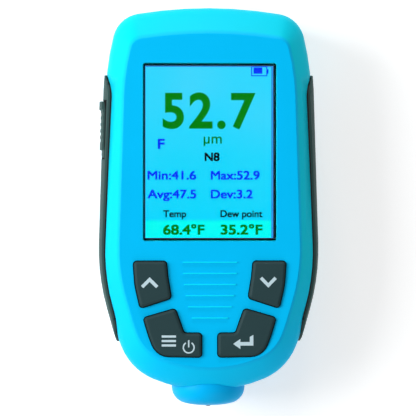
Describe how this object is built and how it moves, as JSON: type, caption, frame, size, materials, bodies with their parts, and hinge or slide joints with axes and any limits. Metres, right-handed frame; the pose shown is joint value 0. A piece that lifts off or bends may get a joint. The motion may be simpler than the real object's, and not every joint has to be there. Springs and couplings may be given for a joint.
{
  "type": "coating thickness gauge",
  "caption": "Hand-held coating thickness gauge with a colour display, rubber keys, side grips, a port cover and a sprung probe in a nose at its low end.",
  "frame": {"origin": "middle of the flat back, on the table, centred in length and width", "axes": "+X to the right seen from the front, +Y towards the top end, +Z out of the screen"},
  "size_m": [0.0676, 0.123, 0.0334],
  "materials": {
    "shell_plastic": "satin",
    "grip_rubber": "matte",
    "door_plastic": "matte",
    "clear_lens": "gloss",
    "display_frame": "matte",
    "circuit_board": "satin",
    "mat_rubber": "matte",
    "dome_steel": "satin",
    "key_rubber": "matte",
    "cell_can": "satin",
    "contact_metal": "satin",
    "plunger_steel": "satin",
    "tip_metal": "polished",
    "spring_steel": "satin",
    "coil_wire": "satin",
    "cap_plastic": "matte",
    "seal_rubber": "matte",
    "screw_steel": "satin"
  },
  "bodies": {
    "housing": {"front_shell": "shell_plastic", "rear_shell": "shell_plastic", "probe_sleeve": "shell_plastic", "left_grip": "grip_rubber", "right_grip": "grip_rubber", "display_lens": "clear_lens", "display_module": "display_frame", "main_board": "circuit_board", "keypad_mat": "mat_rubber", "snap_domes": "dome_steel", "battery_left": "cell_can", "battery_right": "cell_can", "battery_contacts": "contact_metal", "usb_socket": "contact_metal", "probe_spring": "spring_steel", "probe_cap": "cap_plastic", "probe_seal": "seal_rubber", "case_screws": "screw_steel", "case_seal": "seal_rubber", "buzzer": "cap_plastic", "processor": "cap_plastic"},
    "up_key": {"key_up": "key_rubber"},
    "down_key": {"key_down": "key_rubber"},
    "menu_key": {"key_menu": "key_rubber"},
    "enter_key": {"key_enter": "key_rubber"},
    "port_flap": {"port_cover": "grip_rubber"},
    "battery_hatch": {"battery_door": "door_plastic"},
    "plunger": {"probe_plunger": "plunger_steel", "probe_tip": "tip_metal", "sensor_coil": "coil_wire"}
  },
  "joints": [
    {"name": "up_key_press", "type": "slide", "parent": "housing", "child": "up_key", "axis": [0, 0, -1], "range_m": [0, 0.0008], "stiffness_N_per_m": 1500, "springref_m": -0.0003},
    {"name": "down_key_press", "type": "slide", "parent": "housing", "child": "down_key", "axis": [0, 0, -1], "range_m": [0, 0.0008], "stiffness_N_per_m": 1500, "springref_m": -0.0003},
    {"name": "menu_key_press", "type": "slide", "parent": "housing", "child": "menu_key", "axis": [0, 0, -1], "range_m": [0, 0.0008], "stiffness_N_per_m": 1500, "springref_m": -0.0003},
    {"name": "enter_key_press", "type": "slide", "parent": "housing", "child": "enter_key", "axis": [0, 0, -1], "range_m": [0, 0.0008], "stiffness_N_per_m": 1500, "springref_m": -0.0003},
    {"name": "port_cover_hinge", "type": "hinge", "parent": "housing", "child": "port_flap", "pos_m": [-0.03202, 0.0163, 0.02205], "axis": [0, 0, 1], "range_deg": [0, 90]},
    {"name": "battery_door_slide", "type": "slide", "parent": "housing", "child": "battery_hatch", "axis": [0, -1, 0], "range_m": [0, 0.055]},
    {"name": "probe_plunger_slide", "type": "slide", "parent": "housing", "child": "plunger", "axis": [0, 1, 0], "range_m": [0, 0.002], "stiffness_N_per_m": 1500, "springref_m": -0.0005, "deforming": ["probe_spring"]}
  ]
}
